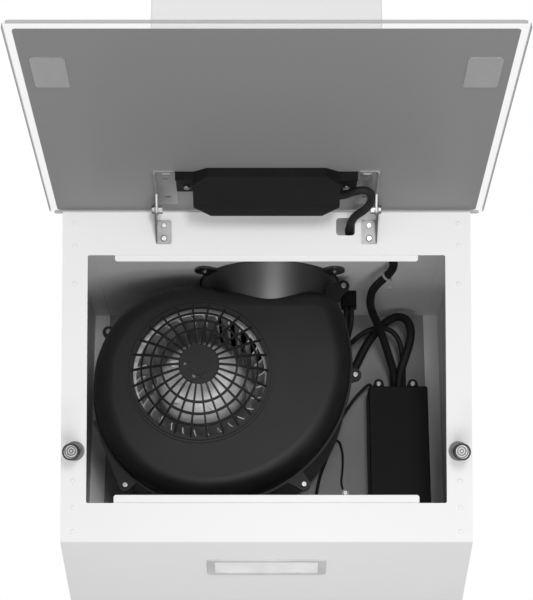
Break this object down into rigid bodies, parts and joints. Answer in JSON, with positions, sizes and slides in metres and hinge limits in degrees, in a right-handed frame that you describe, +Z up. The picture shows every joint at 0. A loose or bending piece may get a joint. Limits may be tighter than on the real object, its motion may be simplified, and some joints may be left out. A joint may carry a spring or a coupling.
{
  "type": "angled range hood",
  "caption": "Wall-hung angled range hood, its hinged glass front open over a scroll blower, with control box, lamp and telescoping chimney.",
  "frame": {"origin": "on the wall plane, at the centre of the four wall screw holes in the back panel", "axes": "+X to the right as seen from the front, +Y into the wall, +Z up"},
  "size_m": [0.498, 0.77, 0.8252],
  "materials": {
    "white_steel": "satin powder coat",
    "galvanised_steel": "galvanised",
    "hinge_steel": "satin",
    "steel": "plated",
    "catch_post_grey": "satin",
    "catch_ring_black": "matt",
    "lamp_grey": "satin",
    "lamp_lens": "frosted",
    "circuit_board": "solder mask",
    "black_plastic": "matt, lightly textured",
    "motor_housing": "cast",
    "cable_black": "matt",
    "tie_nylon": "matt",
    "glass_clear": "polished edges",
    "glass_coat": "back-painted coat"
  },
  "bodies": {
    "hood": {"front_frame": "white_steel", "side_panel_left": "white_steel", "side_panel_right": "white_steel", "top_plate": "white_steel", "back_panel": "white_steel", "frame_rivets": "galvanised_steel", "lamp_frame": "lamp_grey", "lamp_diffuser": "lamp_lens", "lamp_led_board": "circuit_board", "hinge_foot_left": "hinge_steel", "hinge_foot_right": "hinge_steel", "hinge_foot_screws": "steel", "hinge_pivots": "steel", "catch_posts": "catch_post_grey", "catch_rings": "catch_ring_black", "catch_magnets": "steel", "blower_back_shell": "black_plastic", "blower_front_shell": "black_plastic", "inlet_grille": "black_plastic", "blower_screws": "steel", "motor": "motor_housing", "outlet_neck": "black_plastic", "neck_screws": "steel", "duct_collar": "black_plastic", "flap_pin": "steel", "control_box_base": "black_plastic", "control_box_lid": "black_plastic", "control_box_screws": "steel", "power_board": "circuit_board", "motor_plug": "black_plastic", "control_cable": "cable_black", "glass_cable": "cable_black", "mains_lead": "cable_black", "motor_cable": "cable_black", "lamp_cable": "cable_black", "earth_wire": "cable_black", "earth_terminal": "galvanised_steel", "earth_screw": "steel", "cable_tie": "tie_nylon", "cable_gland": "black_plastic", "lower_chimney": "white_steel"},
    "glass_door": {"glass_panel": "glass_clear", "glass_paint": "glass_coat", "catch_plates": "galvanised_steel", "glass_bracket_left": "galvanised_steel", "glass_bracket_right": "galvanised_steel", "touch_box_base": "black_plastic", "touch_box_cover": "black_plastic", "touch_box_screws": "steel", "touch_board": "circuit_board"},
    "upper_chimney_section": {"upper_chimney": "white_steel", "chimney_bracket": "galvanised_steel"},
    "fan_rotor": {"fan_wheel": "galvanised_steel", "motor_shaft": "steel"},
    "rear_flap_body": {"flap_rear": "black_plastic"},
    "front_flap_body": {"flap_front": "black_plastic"}
  },
  "joints": [
    {"name": "glass_hinge", "type": "hinge", "parent": "hood", "child": "glass_door", "pos_m": [0, -0.41284, 0.19985], "axis": [1, 0, 0], "range_deg": [0, 109.75], "deforming": ["glass_cable"]},
    {"name": "chimney_slide", "type": "slide", "parent": "hood", "child": "upper_chimney_section", "axis": [0, 0, 1], "range_m": [0, 0.25]},
    {"name": "fan_spin", "type": "hinge", "parent": "hood", "child": "fan_rotor", "pos_m": [-0.081, -0.12, 0.069], "axis": [0, -1, 0], "continuous": true},
    {"name": "rear_flap_swing", "type": "hinge", "parent": "hood", "child": "rear_flap_body", "pos_m": [0.004, -0.132, 0.24], "axis": [1, 0, 0], "range_deg": [0, 72]},
    {"name": "front_flap_swing", "type": "hinge", "parent": "hood", "child": "front_flap_body", "pos_m": [0.004, -0.132, 0.24], "axis": [-1, 0, 0], "range_deg": [0, 72]}
  ]
}
